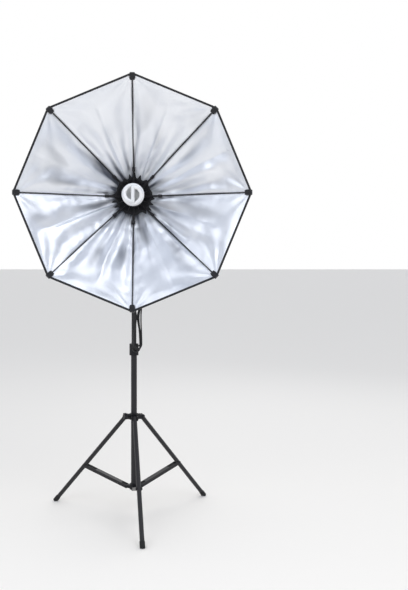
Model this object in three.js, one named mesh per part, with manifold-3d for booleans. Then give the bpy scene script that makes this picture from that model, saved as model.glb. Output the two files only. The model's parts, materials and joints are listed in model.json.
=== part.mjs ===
// Octagonal studio softbox on a folding light stand.
// Millimetres, +Z up. The softbox looks along -Y. The origin is on the floor, under the middle of the
// bounding box, measured without the mains lead.
// While it is being built, the mast stands on the Z axis. The last lines move the whole object onto its origin.
import * as THREE from "three";
import { mergeVertices } from "three/addons/utils/BufferGeometryUtils.js";
import Module from "manifold-3d";

const wasm = await Module();
wasm.setup();

const DEG = Math.PI / 180;
const GAP = 0.3; // clearance between touching pieces

// ---- driving dimensions ----
const RIBS = 8;
const RIM_RADIUS = 400; // corner radius of the octagonal mouth
const RIB_ANGLE = 58 * DEG; // open rib, measured from the lamp's axis
const HUB_Y = -50; // plane of the rib pivots
const HUB_PIVOT_RADIUS = 32;
const LAMP_HEIGHT = 1175; // lamp axis above the floor
const TILT_DROP = 42; // tilt axis below the lamp axis

const LOWER_TUBE_R = 11;
const UPPER_TUBE_R = 9;
const TUBE_WALL = 1.5;
const COLLAR_R = 17;
const LOWER_TUBE = { bottom: 92, top: 610 };
const UPPER_TUBE = { bottom: 440, top: 1060 };

const LEG_AZIMUTHS = [6, 126, 246]; // degrees, from the front (-Y) towards +X
const LEG_R = 8;
const LEG_TOP = { radius: 34, z: 357 };
const LEG_FOOT = { radius: 335, z: 7 };
const BRACE_JOINT_RADIUS = 208;
const BRACE_FOOT = { radius: 28, z: 97 };
const PIN_R = 2.2;
const PIN_HOLE_R = 2.6;

const HOLDER_R = 24;
const HOLDER_FRONT_Y = -72;
const BULB_COIL_R = 40;
const BULB_FRONT_Y = -205;

const CORD_R = 2.5;

// ---- materials ----
const paint = new THREE.MeshStandardMaterial({ color: 0x17181b, roughness: 0.38, metalness: 0.6 });
const plastic = new THREE.MeshStandardMaterial({ color: 0x141416, roughness: 0.5, metalness: 0 });
const rubber = new THREE.MeshStandardMaterial({ color: 0x101011, roughness: 0.85, metalness: 0 });
const steel = new THREE.MeshStandardMaterial({ color: 0xb9bcc0, roughness: 0.3, metalness: 1 });
const silver = new THREE.MeshStandardMaterial({ color: 0xd4d8de, roughness: 0.4, metalness: 0.8 });
const glass = new THREE.MeshStandardMaterial({ color: 0xf6f5f0, roughness: 0.25, metalness: 0 });
const white = new THREE.MeshStandardMaterial({ color: 0xededea, roughness: 0.4, metalness: 0 });
const sheath = new THREE.MeshStandardMaterial({ color: 0x121213, roughness: 0.6, metalness: 0 });

// ---- helpers ----
// A closed geometry as a manifold solid.
function solid(geometry) {
  const bare = geometry.clone();
  bare.deleteAttribute("normal");
  bare.deleteAttribute("uv");
  const merged = mergeVertices(bare, 1e-4);
  return new wasm.Manifold(
    new wasm.Mesh({
      numProp: 3,
      vertProperties: merged.attributes.position.array,
      triVerts: new Uint32Array(merged.index.array),
    }),
  );
}

// A manifold solid back as a geometry.
function geometryOf(body) {
  const mesh = body.getMesh();
  const geometry = new THREE.BufferGeometry();
  geometry.setAttribute("position", new THREE.BufferAttribute(mesh.vertProperties, 3));
  geometry.setIndex(new THREE.BufferAttribute(mesh.triVerts, 1));
  return geometry;
}

// Joins the first list of geometries and cuts away the second.
function shaped(joined, cut = []) {
  let body = solid(joined[0]);
  for (const g of joined.slice(1)) body = body.add(solid(g));
  for (const g of cut) body = body.subtract(solid(g));
  return geometryOf(body);
}

// A round bar along Z.
function bar(radius, z0, z1, sides = 24, topRadius = radius) {
  const g = new THREE.CylinderGeometry(topRadius, radius, z1 - z0, sides);
  return g.rotateX(Math.PI / 2).translate(0, 0, (z0 + z1) / 2);
}

// A body turned about Z from [radius, z] points, listed counterclockwise.
function turned(points, sides = 32) {
  const profile = points.map(([r, z]) => new THREE.Vector2(r, z));
  return new THREE.LatheGeometry(profile, sides).rotateX(Math.PI / 2);
}

// A tube along Z, open at both ends.
function pipe(outer, inner, z0, z1, sides = 28) {
  return turned([[inner, z0], [outer, z0], [outer, z1], [inner, z1], [inner, z0]], sides);
}

function box(x0, x1, y0, y1, z0, z1) {
  const g = new THREE.BoxGeometry(x1 - x0, y1 - y0, z1 - z0);
  return g.translate((x0 + x1) / 2, (y0 + y1) / 2, (z0 + z1) / 2);
}

// Z to -Y, so that a body made along Z points away from the mast.
const outward = (geometry) => geometry.rotateX(Math.PI / 2);

// Z to X, so that a body made along Z lies across.
const along = (geometry) => geometry.rotateY(Math.PI / 2);

function piece(parent, name, geometry, material) {
  const mesh = new THREE.Mesh(geometry, material);
  mesh.name = name;
  parent.add(mesh);
  return mesh;
}

// A group turned about Z, whose -Y is the direction at that azimuth.
function atAzimuth(parent, degrees) {
  const group = new THREE.Group();
  group.rotation.z = degrees * DEG;
  parent.add(group);
  return group;
}

const object = new THREE.Group();

// ---- hand knobs: a screw, a shoulder and a fluted grip, made along +Z from the screw's tip ----
const KNOB = { screw: 2.8, hole: 3.3, shoulder: 6, grip: 12.5, thickness: 11, flutes: 6 };
const SCREW_TIP = 0.7; // a screw ends this far from the tube that it clamps
const CLAMP = { bottom: 588, top: 630, knobZ: 620, azimuth: 185, bossR: 8, bossEnd: 25 };
const LEG_KNOB = { azimuth: -66, z: LEG_TOP.z + 6, bossR: 7, bossEnd: 24 };
const ADAPTER_KNOB = { azimuth: -90, z: 1080, bossR: 7.5, bossEnd: 23 };
const SPIGOT_R = 7.9;

function knob(screwLength) {
  const outline = new THREE.Shape();
  for (let i = 0; i < KNOB.flutes * 6; i++) {
    const a = (i / (KNOB.flutes * 6)) * 2 * Math.PI;
    const r = KNOB.grip - 1.6 + 1.6 * Math.cos(KNOB.flutes * a);
    if (i === 0) outline.moveTo(r, 0);
    else outline.lineTo(r * Math.cos(a), r * Math.sin(a));
  }
  outline.closePath();
  const grip = new THREE.ExtrudeGeometry(outline, { depth: KNOB.thickness, bevelEnabled: false });
  grip.translate(0, 0, screwLength + 5);
  return shaped([
    bar(KNOB.screw, 0, screwLength + 1, 14),
    bar(KNOB.shoulder, screwLength, screwLength + 5.5, 20),
    grip,
  ]);
}

// A knob whose screw points at the mast, with its shoulder half a millimetre off the boss.
function clampKnob(bossEnd, tubeR, z) {
  const tip = tubeR + SCREW_TIP;
  return outward(knob(bossEnd + 0.5 - tip)).translate(0, -tip, z);
}

// ---- mast ----
function clampCollar(z0, z1, lowerBore, upperBore, step, bossZ) {
  const boss = outward(bar(CLAMP.bossR, 5, CLAMP.bossEnd, 20)).translate(0, 0, bossZ);
  const screwHole = outward(bar(KNOB.hole, 0, 40, 16)).translate(0, 0, bossZ);
  return shaped(
    [bar(COLLAR_R, z0, z1, 32), boss],
    [bar(lowerBore, z0 - 1, step, 28), bar(upperBore, step - 1, z1 + 1, 28), screwHole],
  );
}

function addMast() {
  piece(object, "lower_tube",
    pipe(LOWER_TUBE_R, LOWER_TUBE_R - TUBE_WALL, LOWER_TUBE.bottom, LOWER_TUBE.top), paint);
  piece(object, "upper_tube",
    pipe(UPPER_TUBE_R, UPPER_TUBE_R - TUBE_WALL, UPPER_TUBE.bottom, UPPER_TUBE.top), paint);
  const spigotR = UPPER_TUBE_R - TUBE_WALL - GAP;
  piece(object, "spigot",
    turned([
      [0, UPPER_TUBE.top - 26], [spigotR, UPPER_TUBE.top - 26], [spigotR, UPPER_TUBE.top + GAP],
      [SPIGOT_R, UPPER_TUBE.top + GAP], [SPIGOT_R, 1074], [7, 1075.5], [7, 1079], [SPIGOT_R, 1080.5],
      [SPIGOT_R, 1092], [6.5, 1094], [0, 1094],
    ], 28), steel);

  const clamp = atAzimuth(object, CLAMP.azimuth);
  piece(clamp, "mast_clamp",
    clampCollar(CLAMP.bottom, CLAMP.top, LOWER_TUBE_R + GAP, UPPER_TUBE_R + GAP,
      LOWER_TUBE.top + GAP, CLAMP.knobZ), plastic);
  piece(clamp, "mast_clamp_knob", clampKnob(CLAMP.bossEnd, UPPER_TUBE_R, CLAMP.knobZ), plastic);
}

// ---- legs ----
// Two ears at one azimuth, which hold a leg or a brace between them.
function ears(radius, z, gap, thickness, reach) {
  const cheeks = [];
  for (const side of [-1, 1]) {
    const x0 = side > 0 ? gap : -gap - thickness;
    cheeks.push(along(bar(reach, x0, x0 + thickness, 16)).translate(0, -radius, z));
    cheeks.push(box(x0, x0 + thickness, -radius, -11, z - reach, z + reach));
  }
  return cheeks;
}

function legCollar() {
  const { radius, z } = LEG_TOP;
  const joined = [bar(COLLAR_R, z - 8, z + 13, 28)];
  for (const azimuth of LEG_AZIMUTHS)
    for (const cheek of ears(radius, z, LEG_R + 0.5, 3, 8)) joined.push(cheek.rotateZ(azimuth * DEG));
  const knobAngle = LEG_KNOB.azimuth * DEG;
  const boss = outward(bar(LEG_KNOB.bossR, 5, LEG_KNOB.bossEnd, 20));
  joined.push(boss.translate(0, 0, LEG_KNOB.z).rotateZ(knobAngle));
  return shaped(joined, [
    bar(LOWER_TUBE_R + GAP, z - 20, z + 30, 24),
    outward(bar(KNOB.hole, 0, 40, 16)).translate(0, 0, LEG_KNOB.z).rotateZ(knobAngle),
    ...LEG_AZIMUTHS.map((azimuth) =>
      along(bar(PIN_HOLE_R, -20, 20, 12)).translate(0, -radius, z).rotateZ(azimuth * DEG)),
  ]);
}

// A leg in its own frame: the pivot at the origin and the leg along -Z.
const legRun = LEG_FOOT.radius - LEG_TOP.radius;
const legDrop = LEG_TOP.z - LEG_FOOT.z;
const LEG_LENGTH = Math.hypot(legRun, legDrop);
const LEG_SPREAD = Math.atan2(legRun, legDrop);
const BRACE_DISTANCE = (BRACE_JOINT_RADIUS - LEG_TOP.radius) / Math.sin(LEG_SPREAD);
const BRACE_JOINT_Z = LEG_TOP.z - BRACE_DISTANCE * Math.cos(LEG_SPREAD);
const BRACE_LENGTH = Math.hypot(BRACE_JOINT_RADIUS - BRACE_FOOT.radius, BRACE_JOINT_Z - BRACE_FOOT.z);
const BRACE_RISE = Math.asin((BRACE_JOINT_Z - BRACE_FOOT.z) / BRACE_LENGTH);

function legTube() {
  const pin = along(bar(PIN_R, -LEG_R - 5.4, LEG_R + 5.4, 12));
  const heads = [-LEG_R - 5.4, LEG_R + 3.8].map((x) => along(bar(4, x, x + 1.6, 14)));
  return shaped(
    [bar(LEG_R, -LEG_LENGTH + 4, 6, 20), pin, ...heads],
    [bar(LEG_R - TUBE_WALL, -LEG_LENGTH, -BRACE_DISTANCE - 20, 20)],
  );
}

function rubberFoot() {
  const inner = LEG_R + GAP;
  const outer = inner + 1;
  const seat = -LEG_LENGTH + 4 - GAP; // the tube's end stands on it
  const mouth = -LEG_LENGTH + 15;
  return solid(turned([
    [0, -LEG_LENGTH - 9], [outer - 2, -LEG_LENGTH - 9], [outer, -LEG_LENGTH - 7], [outer, mouth - 2],
    [outer - 0.4, mouth], [inner, mouth], [inner, seat], [0, seat],
  ], 24));
}

// The brace in its own frame: the lower pivot at the origin, reaching along -Y, a channel open downwards.
const BRACE_SHEET = 1.8;
const BRACE_INNER = LEG_R + 0.5; // the leg passes between the cheeks
const BRACE_OUTER = BRACE_INNER + BRACE_SHEET;
const WEB_START = 50; // from the outer end: the leg crosses the channel here as it folds

function braceChannel() {
  const cheeks = [];
  for (const x0 of [-BRACE_OUTER, BRACE_INNER]) {
    cheeks.push(box(x0, x0 + BRACE_SHEET, -BRACE_LENGTH, 0, -6, 6));
    cheeks.push(along(bar(6, x0, x0 + BRACE_SHEET, 16)));
    cheeks.push(along(bar(6, x0, x0 + BRACE_SHEET, 16)).translate(0, -BRACE_LENGTH, 0));
  }
  const web = box(-BRACE_INNER - 1, BRACE_INNER + 1, -BRACE_LENGTH + WEB_START, -24, 4.2, 6);
  // The rivet at the outer end passes through the leg: only its heads are made, on the cheeks.
  for (const x0 of [-BRACE_OUTER - 1.5, BRACE_OUTER - 0.5])
    cheeks.push(along(bar(4, x0, x0 + 2, 14)).translate(0, -BRACE_LENGTH, 0));
  return shaped([...cheeks, web], [along(bar(PIN_HOLE_R, -20, 20, 12))]);
}

function bottomCollar() {
  const { radius, z } = BRACE_FOOT;
  const joined = [bar(COLLAR_R - 0.5, z - 7.5, z + 12, 28)];
  const lug = LEG_R;
  const head = { from: BRACE_OUTER + GAP, thickness: 1.5 };
  const pinEnd = head.from + head.thickness / 2;
  for (const azimuth of LEG_AZIMUTHS) {
    const parts = [
      box(-lug, lug, -radius, -10, z - 5, z + 5),
      ...[bar(5, -lug, lug, 16), bar(PIN_R, -pinEnd, pinEnd, 12)].map((g) =>
        along(g).translate(0, -radius, z)),
      ...[-head.from - head.thickness, head.from].map((x0) =>
        along(bar(4, x0, x0 + head.thickness, 12)).translate(0, -radius, z)),
    ];
    for (const part of parts) joined.push(part.rotateZ(azimuth * DEG));
  }
  return shaped(joined, [bar(LOWER_TUBE_R + GAP, LOWER_TUBE.bottom - GAP, z + 20, 28)]);
}

function addLegs() {
  piece(object, "leg_collar", legCollar(), plastic);
  piece(atAzimuth(object, LEG_KNOB.azimuth), "leg_knob",
    clampKnob(LEG_KNOB.bossEnd, LOWER_TUBE_R, LEG_KNOB.z), plastic);
  piece(object, "bottom_collar", bottomCollar(), plastic);

  LEG_AZIMUTHS.forEach((azimuth, i) => {
    const side = atAzimuth(object, azimuth);
    const leg = new THREE.Group();
    leg.position.set(0, -LEG_TOP.radius, LEG_TOP.z);
    leg.rotation.x = -LEG_SPREAD;
    side.add(leg);
    piece(leg, `leg_${i + 1}`, legTube(), paint);
    // The boot is cut flat where it meets the floor.
    const slope = (LEG_SPREAD * 180) / Math.PI;
    const standing = rubberFoot().rotate([-slope, 0, 0]).translate([0, 0, LEG_TOP.z]);
    const cut = standing.subtract(solid(box(-60, 60, -500, 100, -60, 0)));
    piece(side, `foot_${i + 1}`, geometryOf(cut).translate(0, -LEG_TOP.radius, 0), rubber);

    const brace = new THREE.Group();
    brace.position.set(0, -BRACE_FOOT.radius, BRACE_FOOT.z);
    brace.rotation.x = -BRACE_RISE;
    side.add(brace);
    piece(brace, `brace_${i + 1}`, braceChannel(), paint);
  });
}

// ---- swivel head ----
const TILT_Z = LAMP_HEIGHT - TILT_DROP;

function standAdapter() {
  const earSpan = { near: 8, far: 13 };
  const ear = (x0, x1) => [
    along(bar(11, x0, x1, 28)).translate(0, 0, TILT_Z),
    box(x0, x1, -11, 11, 1108, TILT_Z),
  ];
  const { azimuth, z, bossR, bossEnd } = ADAPTER_KNOB;
  const boss = outward(bar(bossR, 5, bossEnd, 20)).translate(0, 0, z).rotateZ(azimuth * DEG);
  const screwHole = outward(bar(KNOB.hole, 0, 40, 16)).translate(0, 0, z).rotateZ(azimuth * DEG);
  return shaped(
    [
      bar(13, UPPER_TUBE.top + 2, 1112, 32),
      box(-13, 13, -11, 11, 1104, 1116),
      ...ear(-earSpan.far, -earSpan.near),
      ...ear(earSpan.near, earSpan.far),
      boss,
    ],
    [
      bar(SPIGOT_R + GAP, UPPER_TUBE.top, 1096, 28),
      screwHole,
      along(bar(KNOB.hole, -20, 20, 18)).translate(0, 0, TILT_Z),
    ],
  );
}

// Z to -Y for everything on the lamp's axis: z in these profiles is the distance in front of the mast.
function addHead(head) {
  const front = -HOLDER_FRONT_Y;
  const barrel = outward(turned([
    [0, -64], [3.6, -64], [6.5, -40], [6.5, -38], [17, -36], [22, -30], [HOLDER_R, -24], [HOLDER_R, 38],
    [25.5, 39], [25.5, 41], [HOLDER_R, 42], [HOLDER_R, front], [22.5, front], [22.5, front - 6],
    [14.4, front - 6], [14.4, 42], [0, 42],
  ], 32));
  const lug = [
    along(bar(11, -7.5, 7.5, 28)).translate(0, 0, -TILT_DROP),
    box(-7.5, 7.5, -11, 11, -TILT_DROP, -HOLDER_R + 3),
  ];
  piece(head, "lamp_holder",
    shaped([barrel, ...lug], [along(bar(KNOB.hole, -20, 20, 18)).translate(0, 0, -TILT_DROP)]), plastic);

  // The crown: eight slots for the rib arms, and a groove for the wire they turn on.
  const slots = [];
  for (let k = 0; k < RIBS; k++)
    slots.push(box(-4.5, 4.5, -70, -30, 27.2, 60).rotateY((k * 2 * Math.PI) / RIBS));
  const blank = outward(pipe(39, HOLDER_R + GAP, 43, 57.5, 48));
  const groove = outward(pipe(HUB_PIVOT_RADIUS + 1.4, HUB_PIVOT_RADIUS - 1.4, 48.6, 60, 48));
  piece(head, "rib_crown", shaped([blank], [...slots, groove]), plastic);
  const wire = new THREE.TorusGeometry(HUB_PIVOT_RADIUS, 1, 6, 48).rotateX(Math.PI / 2);
  piece(head, "crown_wire", wire.translate(0, HUB_Y, 0), steel);
}

// ---- lamp ----
const SPIRAL = {
  tube: 6.5, radius: BULB_COIL_R - 6.8, narrow: 8.5, turns: 2.25, across: 0.08,
  back: 133, front: -BULB_FRONT_Y - 6.8,
};

// Two helices that narrow towards the front, joined there by a straight run across the middle.
class SpiralTube extends THREE.Curve {
  getPoint(t) {
    const { back, front, radius, narrow, turns, across } = SPIRAL;
    const side = t < 0.5 ? 1 : -1;
    const along = Math.min(t, 1 - t) * 2; // 0 at an end of the tube, 1 at its middle
    const wound = Math.min(along / (1 - across), 1);
    const reach = along < 1 - across ? 1 : (1 - along) / across;
    const taper = Math.max(0, (wound - 0.62) / 0.38);
    const r = (radius - narrow * taper * taper) * Math.sin((reach * Math.PI) / 2);
    const turn = wound * turns * 2 * Math.PI;
    const z = back + (front - back) * wound;
    return new THREE.Vector3(side * r * Math.cos(turn), side * r * Math.sin(turn), z);
  }
}

function addLamp(head) {
  const section = new THREE.Shape();
  section.absarc(0, 0, SPIRAL.tube, 0, 2 * Math.PI);
  const spiral = new THREE.ExtrudeGeometry(section, {
    steps: 84, curveSegments: 4, bevelEnabled: false, extrudePath: new SpiralTube(),
  });
  piece(head, "bulb_spiral", outward(spiral), glass);
  piece(head, "bulb_base", outward(turned([
    [0, 44], [5, 44], [5, 46], [13, 50], [13, 72], [14, 74], [24, 78], [30, 92], [31, 118],
    [27, 125], [0, 125],
  ], 36)), white);
}

// ---- canopy ----
const RIB_LENGTH = (RIM_RADIUS - HUB_PIVOT_RADIUS) / Math.sin(RIB_ANGLE);
const ARM_LENGTH = 78;
const TIP_BLOCK = 22; // length of the corner block on the rod's tip

// One face of the pyramid between two ribs is flat. Seen from a rib, its middle line starts at the virtual
// apex behind the crown, and the rim edge is square to it.
const APEX = -HUB_PIVOT_RADIUS / Math.sin(RIB_ANGLE);
const halfStep = Math.PI / RIBS;
const middle = new THREE.Vector3(
  RIM_RADIUS * Math.cos(halfStep) * Math.sin(halfStep),
  HUB_Y - RIB_LENGTH * Math.cos(RIB_ANGLE),
  RIM_RADIUS * Math.cos(halfStep) * Math.cos(halfStep),
).sub(new THREE.Vector3(0, HUB_Y, HUB_PIVOT_RADIUS));
const MIDDLE_ALONG = middle.z * Math.sin(RIB_ANGLE) - middle.y * Math.cos(RIB_ANGLE);
const MIDDLE_ACROSS = Math.sqrt(middle.lengthSq() - MIDDLE_ALONG ** 2);
const FACE_TILT = -Math.acos(middle.x / MIDDLE_ACROSS);

// The rib arm in the rib's frame: pivot at the origin, rib along +Z, the outside of the canopy at +Y.
function ribArm() {
  const eye = along(bar(4.2, -4, 4, 14));
  const ferrule = bar(5.5, ARM_LENGTH - 9, ARM_LENGTH + 4, 8);
  return shaped(
    [eye, box(-3, 3, -2.5, 2.5, 0, ARM_LENGTH - 6), ferrule],
    [along(bar(1.6, -10, 10, 10)), bar(2.3, ARM_LENGTH - 7, ARM_LENGTH + 10, 10)],
  );
}

// The spring-steel rod and the moulded corner block on its end.
function ribRod() {
  return shaped([
    bar(2, ARM_LENGTH - 6.5, RIB_LENGTH - 6, 10),
    box(-8, 8, -4, 4, RIB_LENGTH - TIP_BLOCK, RIB_LENGTH + 2),
  ]);
}

// Half of one face. It hinges on the rib, and stops short of the face's middle line,
// because the two halves turn out of each other's way at slightly different speeds.
const HALF_TRIM = 0.85;

function halfFace() {
  const inner = 6.5;
  const start = 42;
  const end = RIB_LENGTH - TIP_BLOCK - 2;
  const widthAt = (s) => (MIDDLE_ACROSS / (MIDDLE_ALONG - APEX)) * (s - APEX) * HALF_TRIM;
  const rimAt = (x) => RIB_LENGTH - (x * (RIB_LENGTH - MIDDLE_ALONG)) / MIDDLE_ACROSS;
  const beside = 9; // clear of the corner block
  const outer = MIDDLE_ACROSS * HALF_TRIM;
  const outline = new THREE.Shape();
  outline.moveTo(inner, start);
  outline.lineTo(widthAt(start), start);
  outline.lineTo(outer, rimAt(outer));
  outline.lineTo(beside, rimAt(beside));
  outline.lineTo(beside, end);
  outline.lineTo(inner, end);
  outline.closePath();
  const g = new THREE.ExtrudeGeometry(outline, { depth: 2, bevelEnabled: false });
  return g.translate(0, 0, -1).rotateX(Math.PI / 2); // x across the face, z along the rib
}

function addCanopy(head) {
  for (let k = 0; k < RIBS; k++) {
    const sector = new THREE.Group();
    sector.rotation.y = (k * 2 * Math.PI) / RIBS;
    head.add(sector);
    const rib = new THREE.Group();
    rib.position.set(0, HUB_Y, HUB_PIVOT_RADIUS);
    rib.rotation.x = Math.PI / 2 - RIB_ANGLE;
    sector.add(rib);
    piece(rib, `rib_arm_${k + 1}`, ribArm(), paint);
    piece(rib, `rib_rod_${k + 1}`, ribRod(), paint);
    const right = piece(rib, `canopy_right_${k + 1}`, halfFace(), silver);
    right.rotation.z = FACE_TILT;
    const left = piece(rib, `canopy_left_${k + 1}`, halfFace(), silver);
    left.rotation.z = Math.PI - FACE_TILT;
  }
}

// ---- mains lead ----
const HANK = { azimuth: 25, radius: 28.5, top: 790, bottom: 600, width: 36, depth: 21 };
const PLUG = { azimuth: 7, radius: 32, bottom: 800, top: 836 };

// From the gland behind the lamp holder, down beside the mast, to the top of the hank.
const LEAD_ROUTE = [
  [0, 64.3, 0], [0, 72, -0.6], [0.5, 82, -6], [1.5, 89, -17], [3, 91, -32], [5, 88, -50],
  [8, 79, -72], [12, 64, -98], [15, 48, -126], [17, 32, -158], [17.5, 18, -192],
  [17.5, 8, -228], [17, 0, -265], [17, -6, -300], [18, -11, -335], [19, -13.9, -362],
  [19.5, -14.9, -384.6],
]; // z is measured from the lamp's axis

function addCord() {
  const curve = new THREE.CatmullRomCurve3(
    LEAD_ROUTE.map(([x, y, z]) => new THREE.Vector3(x, y, LAMP_HEIGHT + z)),
  );
  const section = new THREE.Shape();
  for (let i = 0; i < 6; i++) {
    const a = (i * Math.PI) / 3;
    if (i === 0) section.moveTo(CORD_R, 0);
    else section.lineTo(CORD_R * Math.cos(a), CORD_R * Math.sin(a));
  }
  section.closePath();
  piece(object, "cord_lead",
    new THREE.ExtrudeGeometry(section, { steps: 44, bevelEnabled: false, extrudePath: curve }), sheath);

  const end = HANK.width / 2;
  const racetrack = new THREE.Shape();
  racetrack.absarc(0, HANK.top - end, end, 0, Math.PI);
  racetrack.absarc(0, HANK.bottom + end, end, Math.PI, 2 * Math.PI);
  racetrack.closePath();
  const hank = new THREE.ExtrudeGeometry(racetrack, {
    depth: HANK.depth, curveSegments: 10, bevelEnabled: false,
  });
  hank.translate(0, 0, -HANK.depth / 2).rotateX(Math.PI / 2).translate(0, -HANK.radius, 0);
  // The tail runs up from the hank to the plug, which is tied against the lead.
  const tailTurn = (PLUG.azimuth - HANK.azimuth) * DEG;
  const tail = bar(CORD_R, HANK.top - 16, PLUG.bottom - GAP, 8);
  tail.translate(0, -PLUG.radius, 0).rotateZ(tailTurn);
  piece(atAzimuth(object, HANK.azimuth), "cord_hank", shaped([hank, tail]), sheath);

  const pins = [-6.3, 6.3].map((x) => bar(2, PLUG.top - 2, PLUG.top + 18, 12).translate(x, 0, 0));
  const body = box(-13, 13, -6, 6, PLUG.bottom, PLUG.top);
  piece(atAzimuth(object, PLUG.azimuth), "plug",
    shaped([body, ...pins]).translate(0, -PLUG.radius, 0), plastic);
}

addMast();
addLegs();
piece(object, "stand_adapter", standAdapter(), plastic);
piece(atAzimuth(object, ADAPTER_KNOB.azimuth), "adapter_knob",
  clampKnob(ADAPTER_KNOB.bossEnd, SPIGOT_R, ADAPTER_KNOB.z), plastic);
piece(object, "tilt_knob",
  knob(27.5).rotateY(-Math.PI / 2).translate(14, 0, TILT_Z), plastic);

const head = new THREE.Group();
head.position.z = LAMP_HEIGHT;
object.add(head);
addHead(head);
addLamp(head);
addCanopy(head);
addCord();

// The origin goes to the middle of the footprint, measured without the mains lead.
object.updateMatrixWorld(true);
const extent = new THREE.Box3();
object.traverse((o) => {
  if (o.isMesh && !["cord_lead", "cord_hank", "plug"].includes(o.name)) extent.expandByObject(o, true);
});
object.position.set(-(extent.min.x + extent.max.x) / 2, -(extent.min.y + extent.max.y) / 2, -extent.min.z);
object.updateMatrixWorld(true);

export default object;
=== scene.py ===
"""Looks of a studio softbox on a folding light stand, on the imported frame. Metres, +Z up, facing -Y."""
import json
import math
import bpy
import bmesh
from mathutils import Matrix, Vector, noise

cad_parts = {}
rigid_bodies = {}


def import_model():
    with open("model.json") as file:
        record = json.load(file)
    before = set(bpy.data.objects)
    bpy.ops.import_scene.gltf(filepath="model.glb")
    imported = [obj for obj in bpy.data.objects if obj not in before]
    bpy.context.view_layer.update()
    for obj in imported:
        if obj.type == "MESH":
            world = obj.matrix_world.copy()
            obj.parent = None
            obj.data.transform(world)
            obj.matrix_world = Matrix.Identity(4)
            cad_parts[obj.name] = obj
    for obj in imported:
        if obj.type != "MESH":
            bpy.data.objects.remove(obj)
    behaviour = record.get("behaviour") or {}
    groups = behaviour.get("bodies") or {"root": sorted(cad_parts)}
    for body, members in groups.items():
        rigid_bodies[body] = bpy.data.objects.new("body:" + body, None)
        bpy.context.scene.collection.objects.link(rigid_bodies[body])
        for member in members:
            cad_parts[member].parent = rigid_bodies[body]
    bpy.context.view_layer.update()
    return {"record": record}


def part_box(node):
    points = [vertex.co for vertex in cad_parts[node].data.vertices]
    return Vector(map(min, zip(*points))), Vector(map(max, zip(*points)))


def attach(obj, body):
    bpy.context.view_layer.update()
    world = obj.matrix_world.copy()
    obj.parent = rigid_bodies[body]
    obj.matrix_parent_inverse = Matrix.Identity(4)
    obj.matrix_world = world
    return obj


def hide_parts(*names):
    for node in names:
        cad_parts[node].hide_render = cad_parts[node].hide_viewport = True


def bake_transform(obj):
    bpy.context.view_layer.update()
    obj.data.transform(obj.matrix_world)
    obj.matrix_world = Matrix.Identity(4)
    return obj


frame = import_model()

# ---- places that the frame gives ----
JOINTS = {j["name"]: j for j in frame["record"]["behaviour"]["joints"]}
FORWARD = Vector((0, -1, 0))
UP = Vector((0, 0, 1))
RIBS = 8
STEP = 2 * math.pi / RIBS


def middle_of(node):
    low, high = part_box(node)
    return (Vector(low) + Vector(high)) / 2


MAST = middle_of("lower_tube")
LAMP = Vector((MAST.x, MAST.y, middle_of("rib_crown").z))
PIVOT_RADIUS = Vector(JOINTS["rib_1_fold"]["pos_m"]).z - LAMP.z
HUB = Vector((MAST.x, JOINTS["rib_1_fold"]["pos_m"][1], LAMP.z))
RIB_DIRECTION = Vector(JOINTS["canopy_right_1_swing"]["axis"])
RIB_ANGLE = math.acos(RIB_DIRECTION.dot(FORWARD))
RIM_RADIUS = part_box("rib_rod_3")[1][0] - MAST.x - 0.004
RIB_LENGTH = (RIM_RADIUS - PIVOT_RADIUS) / math.sin(RIB_ANGLE)
SCENE = bpy.context.scene
SCENE.view_settings.view_transform = "Standard"


def at_mast(x, y, z):
    """A point measured from the mast's axis at the floor."""
    return Vector((MAST.x + x, MAST.y + y, z))


# ---- mesh helpers ----
def add(name, mesh, body, *materials):
    piece = bpy.data.objects.new(name, mesh)
    SCENE.collection.objects.link(piece)
    for material in materials:
        mesh.materials.append(material)
    if body:
        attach(piece, body)
    return piece


def mesh_of(name, points, faces, smooth=True):
    mesh = bpy.data.meshes.new(name)
    mesh.from_pydata([tuple(p) for p in points], [], faces)
    mesh.update()
    for polygon in mesh.polygons:
        polygon.use_smooth = smooth
    return mesh


def smooth_line(points, count):
    """A Catmull-Rom curve through the points, with count steps between each two."""
    line = []
    ends = [2 * points[0] - points[1], *points, 2 * points[-1] - points[-2]]
    for a, b, c, d in zip(ends, ends[1:], ends[2:], ends[3:]):
        for i in range(count):
            t = i / count
            line.append(
                0.5 * (2 * b + (c - a) * t + (2 * a - 5 * b + 4 * c - d) * t * t
                       + (3 * b - a - 3 * c + d) * t ** 3)
            )
    return line + [points[-1]]


def sweep(line, section):
    """Points and faces of a section, a list of (across, up) pairs, carried along a line without twist."""
    count = len(line)
    normal = None
    points = []
    for i, p in enumerate(line):
        before = line[max(i - 1, 0)]
        after = line[min(i + 1, count - 1)]
        tangent = (after - before).normalized()
        if normal is None:
            normal = tangent.orthogonal().normalized()
        normal = (normal - tangent * normal.dot(tangent)).normalized()
        across = tangent.cross(normal)
        points += [p + normal * u + across * v for u, v in section]
    n = len(section)
    faces = []
    for i in range(count - 1):
        for j in range(n):
            a, b = i * n + j, i * n + (j + 1) % n
            faces.append((a, b, b + n, a + n))
    faces.append(tuple(reversed(range(n))))
    faces.append(tuple(range((count - 1) * n, count * n)))
    return points, faces


def ring(radius, sides):
    return [
        (radius * math.cos(i * 2 * math.pi / sides), radius * math.sin(i * 2 * math.pi / sides))
        for i in range(sides)
    ]


def tube(name, line, radius, body, material, sides):
    points, faces = sweep(line, ring(radius, sides))
    return add(name, mesh_of(name, points, faces), body, material)


def bmesh_fix(mesh):
    """Welds points that meet, and points every face outwards."""
    work = bmesh.new()
    work.from_mesh(mesh)
    bmesh.ops.remove_doubles(work, verts=work.verts, dist=1e-6)
    bmesh.ops.recalc_face_normals(work, faces=work.faces)
    work.to_mesh(mesh)
    work.free()


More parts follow.
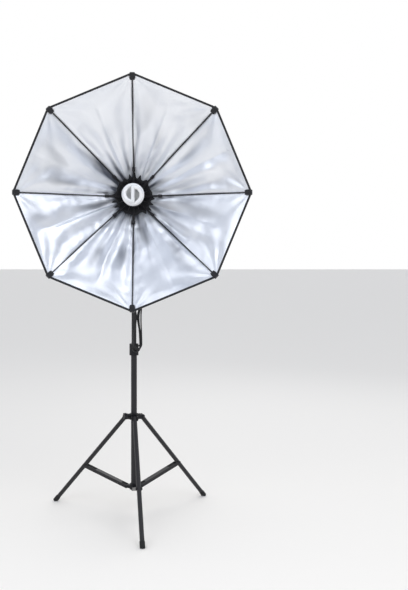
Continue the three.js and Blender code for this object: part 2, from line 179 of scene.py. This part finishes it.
# ---- camera ----
def make_camera():
    data = bpy.data.cameras.new("camera")
    camera = bpy.data.objects.new("camera", data)
    SCENE.collection.objects.link(camera)
    camera.location = at_mast(0.063, -2.864, 0.994)
    camera.rotation_euler = (math.radians(90), 0, 0)
    data.sensor_width = 36
    data.lens = 46.9
    data.shift_x = 0.090
    data.shift_y = -0.083
    SCENE.camera = camera


# ---- materials ----
def material(name, color, roughness, metallic=0.0):
    made = bpy.data.materials.new(name)
    made.use_nodes = True
    shader = made.node_tree.nodes["Principled BSDF"]
    shader.inputs["Base Color"].default_value = (*color, 1)
    shader.inputs["Roughness"].default_value = roughness
    shader.inputs["Metallic"].default_value = metallic
    return made, made.node_tree, shader


def linked(tree, kind, **values):
    node = tree.nodes.new(kind)
    for key, value in values.items():
        if hasattr(node, key):
            setattr(node, key, value)
        else:
            node.inputs[key.replace("_", " ")].default_value = value
    return node


def grain(tree, shader, scale, strength, detail=4.0, distance=0.001, stretch=(1, 1, 1)):
    """Fine bumps from noise, in object coordinates."""
    place = linked(tree, "ShaderNodeTexCoord")
    mapping = linked(tree, "ShaderNodeMapping")
    mapping.inputs["Scale"].default_value = stretch
    cloud = linked(tree, "ShaderNodeTexNoise", Scale=scale, Detail=detail)
    bump = linked(tree, "ShaderNodeBump", Strength=strength, Distance=distance)
    tree.links.new(place.outputs["Object"], mapping.inputs["Vector"])
    tree.links.new(mapping.outputs["Vector"], cloud.inputs["Vector"])
    tree.links.new(cloud.outputs["Fac"], bump.inputs["Height"])
    tree.links.new(bump.outputs["Normal"], shader.inputs["Normal"])
    return cloud, bump, mapping


def varied(tree, source, target, low, high):
    """A socket's value, moved between low and high by a noise."""
    spread = linked(tree, "ShaderNodeMapRange")
    for key, value in (("From Min", 0.35), ("From Max", 0.65), ("To Min", low), ("To Max", high)):
        spread.inputs[key].default_value = value
    tree.links.new(source, spread.inputs["Value"])
    tree.links.new(spread.outputs["Result"], target)


def painted_metal():
    made, tree, shader = material("black_paint", (0.018, 0.017, 0.019), 0.42)
    shader.inputs["Specular IOR Level"].default_value = 0.32
    shader.inputs["Coat Weight"].default_value = 0.12
    shader.inputs["Coat Roughness"].default_value = 0.3
    cloud, _, _ = grain(tree, shader, 900, 0.12, 3.0, 0.0004)
    varied(tree, cloud.outputs["Fac"], shader.inputs["Roughness"], 0.36, 0.5)
    return made


def moulded_plastic():
    made, tree, shader = material("black_plastic", (0.009, 0.009, 0.011), 0.55)
    shader.inputs["Specular IOR Level"].default_value = 0.3
    cloud, _, _ = grain(tree, shader, 1400, 0.25, 2.0, 0.0004)
    varied(tree, cloud.outputs["Fac"], shader.inputs["Roughness"], 0.42, 0.58)
    return made


def foot_rubber():
    made, tree, shader = material("rubber", (0.012, 0.012, 0.012), 0.8)
    cloud, _, _ = grain(tree, shader, 500, 0.35, 5.0, 0.0006)
    varied(tree, cloud.outputs["Fac"], shader.inputs["Roughness"], 0.68, 0.9)
    return made


def bare_steel():
    made, tree, shader = material("steel", (0.62, 0.63, 0.65), 0.3, 1.0)
    cloud, _, _ = grain(tree, shader, 400, 0.06, 4.0, 0.0003, (1, 1, 30))
    varied(tree, cloud.outputs["Fac"], shader.inputs["Roughness"], 0.22, 0.38)
    return made


def silver_cloth():
    """Foil-faced cloth: a metallic face that is crumpled at a centimetre's scale, over a fine weave; its
    colour is darkened towards blue-black by the painted shade and painted reflections stored in the shade
    attribute.
    """
    made, tree, shader = material("silver_cloth", (0.90, 0.92, 0.96), 0.44, 1.0)
    cloud, bump, mapping = grain(tree, shader, 9, 0.34, 3.0, 0.005)
    cloud.inputs["Distortion"].default_value = 0.9
    weave = linked(tree, "ShaderNodeTexNoise", Scale=1500, Detail=1.0)
    fine = linked(tree, "ShaderNodeBump", Strength=0.12, Distance=0.0003)
    tree.links.new(mapping.outputs["Vector"], weave.inputs["Vector"])
    tree.links.new(weave.outputs["Fac"], fine.inputs["Height"])
    tree.links.new(bump.outputs["Normal"], fine.inputs["Normal"])
    tree.links.new(fine.outputs["Normal"], shader.inputs["Normal"])
    varied(tree, cloud.outputs["Fac"], shader.inputs["Roughness"], 0.38, 0.52)
    shade = linked(tree, "ShaderNodeAttribute", attribute_name="shade")
    painted_shade_mix = linked(tree, "ShaderNodeMix", data_type="RGBA")
    colours = [socket for socket in painted_shade_mix.inputs if socket.type == "RGBA"]
    colours[0].default_value = (0.90, 0.92, 0.96, 1)
    # the blue-black of the painted shade and painted reflections on the foil
    colours[1].default_value = (0.055, 0.063, 0.088, 1)
    tree.links.new(shade.outputs["Fac"], painted_shade_mix.inputs["Factor"])
    result = next(socket for socket in painted_shade_mix.outputs if socket.type == "RGBA")
    tree.links.new(result, shader.inputs["Base Color"])
    return made


def black_cloth():
    made, tree, shader = material("black_cloth", (0.012, 0.012, 0.014), 0.75)
    shader.inputs["Sheen Weight"].default_value = 0.35
    shader.inputs["Sheen Roughness"].default_value = 0.4
    grain(tree, shader, 1100, 0.5, 2.0, 0.0005)
    return made


def lamp_glass():
    made, tree, shader = material("lamp_glass", (0.98, 0.98, 0.97), 0.2)
    shader.inputs["Coat Weight"].default_value = 0.6
    shader.inputs["Coat Roughness"].default_value = 0.05
    shader.inputs["Subsurface Weight"].default_value = 0.5
    shader.inputs["Subsurface Radius"].default_value = (0.012, 0.012, 0.012)
    grain(tree, shader, 60, 0.03, 2.0, 0.0005)
    return made


def lamp_plastic():
    made, tree, shader = material("lamp_body", (0.84, 0.84, 0.81), 0.32)
    grain(tree, shader, 700, 0.05, 2.0, 0.0003)
    return made


def cord_vinyl():
    made, tree, shader = material("cord_sheath", (0.012, 0.012, 0.013), 0.45)
    grain(tree, shader, 900, 0.1, 2.0, 0.0003)
    return made


PAINT = painted_metal()
PLASTIC = moulded_plastic()
RUBBER = foot_rubber()
STEEL = bare_steel()
SILVER = silver_cloth()
BLACK_CLOTH = black_cloth()
GLASS = lamp_glass()
LAMP_BODY = lamp_plastic()
VINYL = cord_vinyl()
BY_SLOT = {
    "black_paint": PAINT, "black_plastic": PLASTIC, "rubber": RUBBER, "steel": STEEL,
    "silver_cloth": SILVER, "lamp_glass": GLASS, "lamp_body": LAMP_BODY, "cord_sheath": VINYL,
}


def finish_cad():
    for part in frame["record"]["subparts"]:
        for slot in bpy.data.objects[part["node"]].material_slots:
            slot.material = BY_SLOT[part["material_slot"]]


# ---- mains lead ----
CORD = 0.005
LEAD_ROUTE = [
    (0, 64.3, 0), (0, 72, -0.6), (0.5, 82, -6), (1.5, 89, -17), (3, 91, -32), (5, 88, -50),
    (8, 79, -72), (12, 64, -98), (15, 48, -126), (17, 32, -158), (17.5, 18, -192),
    (17.5, 8, -228), (17, 0, -265), (17, -6, -300), (18, -11, -335), (19, -13.9, -362),
]  # millimetres from the lamp's axis and the mast's, as in the CAD
HANK_AZIMUTH = math.radians(25)
HANK_RADIUS = 0.0285
HANK_TOP = 0.790
HANK_BOTTOM = 0.600
PINCHES = (0.35, 0.80, 0.60, 0.20)  # how far each turn of the hank is drawn in below its tie
LIFTS = (0.0, 0.020, 0.009, 0.014)  # how far each turn's lower loop hangs above the lowest
FOLD_RADIUS = 0.0152


def hank_point(across, out, height):
    """A point of the hank: sideways, away from the middle of its depth, and above the floor."""
    outward = Vector((math.sin(HANK_AZIMUTH), -math.cos(HANK_AZIMUTH), 0))
    sideways = Vector((math.cos(HANK_AZIMUTH), math.sin(HANK_AZIMUTH), 0))
    return at_mast(0, 0, height) + outward * (HANK_RADIUS + out) + sideways * across


def hank_width(pinch, below_top):
    """Half the width of a turn, narrowest a third of the way down."""
    return FOLD_RADIUS * (1 - pinch * math.sin(math.pi * below_top ** 0.6) ** 2)


def hank_route():
    """Down the right-hand run and up the left-hand one, each turn a layer further out."""
    high = HANK_TOP - FOLD_RADIUS - CORD / 2
    layer = 0.0052
    turns = len(PINCHES)
    points = []
    for turn, (pinch, lift) in enumerate(zip(PINCHES, LIFTS)):
        base = (turn - (turns - 1) / 2) * layer
        low = HANK_BOTTOM + FOLD_RADIUS + CORD / 2 + lift
        last = turn == turns - 1
        for i in range(9):
            t = i / 8
            points.append((hank_width(pinch, t), base, high + (low - high) * t))
        for i in range(1, 8):
            a = math.pi * i / 8
            points.append((FOLD_RADIUS * math.cos(a), base, low - FOLD_RADIUS * math.sin(a)))
        for i in range(9):
            t = i / 8
            out = base if last else base + layer * max(0.0, t * 1.5 - 0.5)
            points.append((-hank_width(pinch, 1 - t), out, low + (high - low) * t))
        if not last:
            for i in range(1, 8):
                a = math.pi - math.pi * i / 8
                points.append((FOLD_RADIUS * math.cos(a), base + layer, high + FOLD_RADIUS * math.sin(a)))
    return [hank_point(*p) for p in points]


def make_cord():
    lead = [at_mast(x / 1000, y / 1000, LAMP.z + z / 1000) for x, y, z in LEAD_ROUTE]
    exit_point = lead[0].copy()
    low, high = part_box("plug")
    end = Vector(((low[0] + high[0]) / 2, (low[1] + high[1]) / 2, low[2]))
    hank = hank_route()
    rise = [hank[-1].lerp(end, 0.5) + Vector((0, 0, -0.002)), end + Vector((0, 0, 0.001))]
    line = smooth_line(lead + hank + rise, 4)
    cord = tube("mains_lead", line, CORD / 2, None, VINYL, sides=10)
    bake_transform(cord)
    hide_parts("cord_lead", "cord_hank")
    tie = make_tie()


def make_tie():
    """A hook-and-loop strap round the hank."""
    height, half_wide, half_deep = 0.765, 0.0182, 0.0122
    sides = 32
    line = []
    for i in range(sides):
        a = i * 2 * math.pi / sides
        line.append(hank_point(half_wide * math.cos(a), half_deep * math.sin(a), height))
    section = [(-0.0007, -0.006), (0.0007, -0.006), (0.0007, 0.006), (-0.0007, 0.006)]
    corners = len(section)
    total = sides * corners
    points = []
    faces = []
    for i, p in enumerate(line):
        radial = (p - hank_point(0, 0, height)).normalized()
        points += [p + radial * u + UP * v for u, v in section]
        for j in range(corners):
            a, b = i * corners + j, i * corners + (j + 1) % corners
            faces.append((a, b, (b + corners) % total, (a + corners) % total))
    mesh = mesh_of("cord_tie", points, faces, smooth=False)
    bmesh_fix(mesh)
    return add("cord_tie", mesh, "swivel", BLACK_CLOTH)


# ---- canopy ----
CLOTH_START = 0.042  # where the silver cloth begins, along the rib
CLOTH_END = RIB_LENGTH - 0.001
CLOTH_LIFT = 0.0034  # the cloth's face lies on the outside of the rods
COLUMNS = 44
ROWS = 96
CLOTH_THICKNESS = 0.0007
RIPPLES = (0.35, 0.3, 0.5, 0.8, 1.0, 0.9, 0.6, 0.4)  # how strongly the cloth puckers at each rib


class Rib:
    """The line and the outward side of one rib."""

    def __init__(self, k):
        a = k * STEP
        self.radial = Vector((math.sin(a), 0, math.cos(a)))
        self.pivot = HUB + self.radial * PIVOT_RADIUS
        self.along = self.radial * math.sin(RIB_ANGLE) + FORWARD * math.cos(RIB_ANGLE)
        self.out = self.radial * math.cos(RIB_ANGLE) - FORWARD * math.sin(RIB_ANGLE)

    def at(self, distance, lift=0.0):
        return self.pivot + self.along * distance + self.out * lift


RIB = [Rib(k) for k in range(RIBS + 1)]


def folds(k, u, v, width):
    """How far the cloth stands off its flat face, in metres: u runs across it, v from the hub to the rim."""
    side = min(u, 1 - u)
    from_rib = side * width
    which = k if u < 0.5 else k + 1
    along = (1 - v) * RIB_LENGTH
    fixed = min(1.0, side * 9) * min(1.0, max(0, v) * 10) * min(1.0, (1 - v) * 14)
    # folds that fan out from the corner
    reach = math.hypot(from_rib, along)
    angle = math.atan2(from_rib, along + 1e-6)
    seed = 3.1 * which + (1.7 if u < 0.5 else 0.0)
    fan = math.sin(angle * (9 + 2 * math.sin(seed * 2.3)) + seed * 5)
    fan *= math.exp(-reach / 0.14) * min(1.0, reach / 0.03)
    # long creases that run from the hub to the rim
    phase = seed + 1.6 * noise.noise(Vector((which * 3.3, v * 1.6, u * 1.2)))
    long_fold = math.sin(2 * math.pi * (u * (2.2 + 0.5 * math.sin(k * 1.9)) + 0.2 * v) + phase)
    long_fold *= max(0.0, math.sin(math.pi * min(1, max(0, v) * 1.05))) ** 0.7
    # short ripples square to the rib
    wander = 2.5 * noise.noise(Vector((which * 7.1, v * 7, from_rib * 12)))
    ripple = math.sin(v * 58 + seed * 3 + wander)
    ripple *= RIPPLES[which % RIBS] * math.exp(-from_rib / 0.030) * min(1.0, from_rib / 0.008)
    slack = noise.noise(Vector((u * 2.4 + k * 11.7, v * 3.0, 2.2)))
    crease = noise.noise(Vector((u * 7.0 + k * 5.3, v * 9.0, 7.7)))
    smooth = 0.0022 * fan + 0.0050 * long_fold + 0.0085 * slack + 0.0018 * crease
    return fixed * (smooth + 0.0011 * ripple)


def face_point(k, u, v):
    s = CLOTH_START + (CLOTH_END - CLOTH_START) * v
    a = RIB[k].at(s, CLOTH_LIFT)
    b = RIB[k + 1].at(s, CLOTH_LIFT)
    flat = a.lerp(b, u)
    outward = (RIB[k].out + RIB[k + 1].out).normalized()
    return flat + outward * folds(k, u, v, (b - a).length)


def face_grid(k):
    return [
        [face_point(k, column / COLUMNS, row / ROWS) for column in range(COLUMNS + 1)]
        for row in range(ROWS + 1)
    ]


def grid_normals(grid):
    rows, columns = len(grid), len(grid[0])
    result = []
    for r in range(rows):
        line = []
        for c in range(columns):
            along = grid[min(r + 1, rows - 1)][c] - grid[max(r - 1, 0)][c]
            across = grid[r][min(c + 1, columns - 1)] - grid[r][max(c - 1, 0)]
            line.append(across.cross(along).normalized())
        result.append(line)
    return result


PAINTED_SHADE_SIDE = math.radians(245)  # where the painted shade near the hub is strongest, clockwise from the top, seen from the front


def shade_at(k, u, v):
    """How dark the foil is painted: painted reflections of the black sleeve, in streaks near the hub, and
    painted shade in broad bands, in place of real reflections and shade.
    """
    angle = (k + u) * STEP
    streak = 0.5 + 0.5 * noise.noise(Vector((math.cos(angle) * 5.5, math.sin(angle) * 5.5, 0.4)))
    fine = 0.5 + 0.5 * noise.noise(Vector((math.cos(angle) * 15, math.sin(angle) * 15, v * 2)))
    reach = 0.035 + 0.15 * streak ** 2
    # painted shade: the hub's streaks are darker on one side than on the other
    side = 0.5 + 0.5 * math.cos(angle - PAINTED_SHADE_SIDE)
    near_hub = math.exp(-max(0.0, v) / reach) * (0.55 + 0.6 * fine) * (0.45 + 0.8 * side)
    # painted shade in broad patches, darker towards the hub and on the same side
    broad = noise.noise(Vector((math.cos(angle) * 3.4, math.sin(angle) * 3.4, v * 2.2 + 3)))
    finer_shade = noise.noise(Vector((math.cos(angle) * 9, math.sin(angle) * 9, v * 3.5 + 8)))
    patch = max(0.0, broad + 0.5 * finer_shade - 0.02) * (1.05 - v) * (1.0 + side)
    return min(0.92, near_hub + patch)


def half_cloth(name, k, grid, normals, first, last, body):
    """One half of a face: a silver face inside, a black one outside, closed along its edges."""
    rows = len(grid)
    width = last - first + 1
    points = []
    shading = []
    shades = []
    for layer in (0, 1):
        for r in range(rows):
            for c in range(first, last + 1):
                inward = normals[r][c]
                points.append(grid[r][c] - inward * CLOTH_THICKNESS * layer)
                shading.append(inward if layer == 0 else -inward)
                shades.append(shade_at(k, c / COLUMNS, r / ROWS))
    faces = []
    back = rows * width
    for r in range(rows - 1):
        for c in range(width - 1):
            a = r * width + c
            b, d, e = a + 1, a + width, a + width + 1
            faces.append((a, b, e, d))
            faces.append((back + a, back + d, back + e, back + b))
    edge = list(range(width))
    edge += [r * width + width - 1 for r in range(1, rows)]
    edge += [(rows - 1) * width + c for c in range(width - 2, -1, -1)]
    edge += [r * width for r in range(rows - 2, 0, -1)]
    for a, b in zip(edge, edge[1:] + edge[:1]):
        faces.append((b, a, back + a, back + b))
    mesh = mesh_of(name, points, faces)
    front = 2 * (rows - 1) * (width - 1)
    area = 0.0
    for polygon in mesh.polygons:
        outside = polygon.index >= front or polygon.index % 2 == 1
        polygon.material_index = 1 if outside else 0
        if not outside:
            area += polygon.area
    mesh.normals_split_custom_set_from_vertices([tuple(n) for n in shading])
    # the painted shade and painted reflections for the foil, one value per point
    mesh.attributes.new("shade", "FLOAT", "POINT").data.foreach_set("value", shades)
    piece = add(name, mesh, body, SILVER, BLACK_CLOTH)
    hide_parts(body)
    return piece, area


def hem(name, grid, first, last, body):
    """The black binding sewn over the rim's edge."""
    line = [grid[-1][c] for c in range(first, last + 1)]
    return tube(name, line, 0.0038, body, BLACK_CLOTH, sides=10)


def make_canopy():
    half = COLUMNS // 2
    for k in range(RIBS):
        grid = face_grid(k)
        normals = grid_normals(grid)
        following = (k + 1) % RIBS
        for side, first, last, body in (
            ("right", 0, half, f"canopy_right_{k + 1}"),
            ("left", half, COLUMNS, f"canopy_left_{following + 1}"),
        ):
            piece, area = half_cloth(f"cloth_{side}_{k + 1}", k, grid, normals, first, last, body)
            edge = hem(f"hem_{side}_{k + 1}", grid, first, last, body)


def sleeve_edge_and_shade(name, k, columns, body):
    """The sleeve's uneven edge of pleats, lying on the inside of one half of a face; its longer black spikes
    are a dark sheet that stands in for the shade between the gathered folds of the silver cloth.
    """
    outward = (RIB[k].out + RIB[k + 1].out).normalized()
    rows = 10
    points = []
    for u in columns:
        angle = (k + u) * STEP
        point = 0.5 + 0.5 * math.sin(angle * 17 + 2.6 * math.sin(angle * 3.0))
        # the long black spikes are painted shade between the folds, the short ones the sleeve's own edge
        far = 0.004 + 0.052 * point ** 2 * (0.55 + 0.45 * math.sin(angle * 3.0 + 1.3))
        for row in range(rows + 1):
            v = -0.012 + (far + 0.012) * row / rows
            points.append(face_point(k, u, v) - outward * 0.0006)
    faces = []
    for c in range(len(columns) - 1):
        for row in range(rows):
            a = c * (rows + 1) + row
            faces.append((a, a + 1, a + rows + 2, a + rows + 1))
    piece = add(name, mesh_of(name, points, faces), body, BLACK_CLOTH)
    thick = piece.modifiers.new("thickness", "SOLIDIFY")
    thick.thickness = 0.0005
    thick.offset = 0


def make_sleeve_edges_and_shade():
    steps = 48
    for k in range(RIBS):
        half = [i / steps for i in range(steps // 2 + 1)]
        sleeve_edge_and_shade(f"sleeve_edge_and_shade_right_{k + 1}", k, half, f"canopy_right_{k + 1}")
        other = [i / steps for i in range(steps // 2, steps + 1)]
        following = (k + 1) % RIBS
        sleeve_edge_and_shade(f"sleeve_edge_and_shade_left_{following + 1}", k, other, f"canopy_left_{following + 1}")


def make_pockets():
    """Stitched webbing pockets that hold the rods' ends at the corners."""
    for k in range(RIBS):
        rib = RIB[k]
        across = rib.along.cross(rib.out)
        outline = []
        for i in range(20):
            a = i * 2 * math.pi / 20
            x = math.copysign(abs(math.cos(a)) ** 0.3, math.cos(a)) * 0.0094
            y = math.copysign(abs(math.sin(a)) ** 0.35, math.sin(a)) * 0.0056
            outline.append((x, y))
        points = []
        faces = []
        rows = [(-0.0175, 0.97), (-0.0165, 1.0), (-0.009, 1.02), (0.0, 1.0), (0.0022, 0.93), (0.003, 0.7)]
        for distance, size in rows:
            middle = rib.at(RIB_LENGTH + distance, 0.0006)
            points += [middle + across * x * size + rib.out * y * size for x, y in outline]
        n = len(outline)
        for r in range(len(rows) - 1):
            for i in range(n):
                j = (i + 1) % n
                faces.append((r * n + i, r * n + j, (r + 1) * n + j, (r + 1) * n + i))
        faces.append(tuple(range(n)))
        faces.append(tuple(range((len(rows) - 1) * n, len(rows) * n)))
        mesh = mesh_of(f"corner_pocket_{k + 1}", points, faces)
        bmesh_fix(mesh)
        piece = add(f"corner_pocket_{k + 1}", mesh, f"rib_{k + 1}", BLACK_CLOTH)
        bevel = piece.modifiers.new("round", "BEVEL")
        bevel.width = 0.0008
        bevel.segments = 2


SLEEVE_LAPS = (0.001, 0.03)  # how far up the cloth the sleeve's last two rows lie
SLEEVE_PROUD = 0.0018


def sleeve_lap(k, share, v):
    """A point just outside the cloth, for the sleeve's edge to lap over it; share runs across rib k."""
    face, u = ((k - 1) % RIBS, 1 + share) if share < 0 else (k, share)
    outward = (RIB[face].out + RIB[face + 1].out).normalized()
    return face_point(face, u, v) + outward * SLEEVE_PROUD


def make_sleeve():
    """The gathered black sleeve between the lamp holder and the silver cloth, in one piece for each rib."""
    columns, rows = 20, 12
    neck_radius, neck_depth, edge_depth = 0.0265, 0.030, 0.0645
    for k in range(RIBS):
        centre = k * STEP
        points = []
        for r in range(rows + 2):
            t = r / rows
            for c in range(columns + 1):
                if r >= rows:
                    points.append(sleeve_lap(k, c / columns - 0.5, SLEEVE_LAPS[r - rows]))
                    continue
                a = centre + (c / columns - 0.5) * STEP
                pleat = 0.5 + 0.5 * math.cos(a * 56 + 0.6 * math.sin(a * 8))
                height = 0.0035 * pleat * math.sin(math.pi * min(1, t * 1.15 + 0.05))
                edge_radius = PIVOT_RADIUS + CLOTH_START * math.sin(RIB_ANGLE) + 0.004
                off = a - centre
                edge_radius *= math.cos(STEP / 2) / math.cos(abs(abs(off) - STEP / 2))
                radius = neck_radius + (edge_radius - neck_radius) * t
                depth = neck_depth + (edge_depth - neck_depth) * t ** 0.8 - 0.006 * math.sin(math.pi * t)
                radial = Vector((math.sin(a), 0, math.cos(a)))
                points.append(LAMP + radial * radius + FORWARD * (depth + height))
        faces = []
        for r in range(rows + 1):
            for c in range(columns):
                i = r * (columns + 1) + c
                faces.append((i, i + 1, i + columns + 2, i + columns + 1))
        mesh = mesh_of(f"gathered_sleeve_{k + 1}", points, faces)
        piece = add(f"gathered_sleeve_{k + 1}", mesh, None, BLACK_CLOTH)
        thick = piece.modifiers.new("thickness", "SOLIDIFY")
        thick.thickness = 0.0008
        thick.offset = -1
        tuple(RIB[k].at(CLOTH_START))
        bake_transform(piece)


# ---- lamp ----
def make_lamp():
    """Two helices that narrow towards the front and join there in an upright run, as in the CAD."""
    radius, back, coil, narrow = 0.0065, 0.133, 0.0332, 0.0085
    front = MAST.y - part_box("bulb_spiral")[0][1] - radius
    turns, across, taper_start, count = 2.25, 0.08, 0.62, 420
    line = []
    for i in range(count + 1):
        t = i / count
        side = 1 if t < 0.5 else -1
        along = min(t, 1 - t) * 2
        wound = min(along / (1 - across), 1)
        reach = 1.0 if along < 1 - across else (1 - along) / across
        taper = max(0.0, (wound - taper_start) / (1 - taper_start))
        r = side * (coil - narrow * taper ** 2) * math.sin(reach * math.pi / 2)
        turn = wound * turns * 2 * math.pi
        z = back + (front - back) * wound
        line.append(Vector((MAST.x + r * math.cos(turn), MAST.y - z, LAMP.z + r * math.sin(turn))))
    spiral = tube("lamp_tube", line, radius, "bulb", GLASS, sides=16)
    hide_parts("bulb_spiral")


# ---- floor and light ----
def make_stage():
    mesh = mesh_of("floor", [(-30, -30, 0), (30, -30, 0), (30, 30, 0), (-30, 30, 0)], [(0, 1, 2, 3)])
    floor = bpy.data.objects.new("floor", mesh)
    SCENE.collection.objects.link(floor)
    pale, _, _ = material("floor", (0.95, 0.925, 0.885), 0.7)
    mesh.materials.append(pale)
    SCENE.world = make_world()


def make_world():
    """A white studio behind and above the object, and a darker, bluish room in front of it."""
    world = bpy.data.worlds.new("studio")
    world.use_nodes = True
    tree = world.node_tree
    place = linked(tree, "ShaderNodeTexCoord")
    split = linked(tree, "ShaderNodeSeparateXYZ")
    tree.links.new(place.outputs["Generated"], split.inputs["Vector"])
    behind = linked(tree, "ShaderNodeMapRange")
    for key, value in (("From Min", -0.45), ("From Max", 0.25), ("To Min", 0.0), ("To Max", 1.0)):
        behind.inputs[key].default_value = value
    tree.links.new(split.outputs["Y"], behind.inputs["Value"])
    mix = linked(tree, "ShaderNodeMix", data_type="RGBA")
    tree.links.new(behind.outputs["Result"], mix.inputs["Factor"])
    colours = [socket for socket in mix.inputs if socket.type == "RGBA"]
    colours[0].default_value = (0.30, 0.35, 0.45, 1)
    colours[1].default_value = (1, 1, 1, 1)
    result = next(socket for socket in mix.outputs if socket.type == "RGBA")
    background = tree.nodes["Background"]
    tree.links.new(result, background.inputs["Color"])
    background.inputs["Strength"].default_value = 1.0
    return world


def area_light(name, place, aim, size, power):
    data = bpy.data.lights.new(name, "AREA")
    data.shape = "RECTANGLE"
    data.size, data.size_y = size
    data.energy = power
    light = bpy.data.objects.new(name, data)
    SCENE.collection.objects.link(light)
    light.location = place
    light.rotation_euler = (Vector(aim) - Vector(place)).to_track_quat("-Z", "Y").to_euler()


def make_lights():
    target = (MAST.x, MAST.y - 0.2, 1.1)
    area_light("key", (-1.7, -2.6, 2.5), target, (2.2, 2.2), 25)
    area_light("fill", (1.5, -2.5, 3.0), target, (2.6, 2.6), 36)
    area_light("back", (1.2, 2.4, 2.4), target, (1.5, 1.5), 10)


make_camera()
make_cord()
finish_cad()
make_canopy()
make_sleeve_edges_and_shade()
make_pockets()
make_sleeve()
make_lamp()
make_stage()
make_lights()
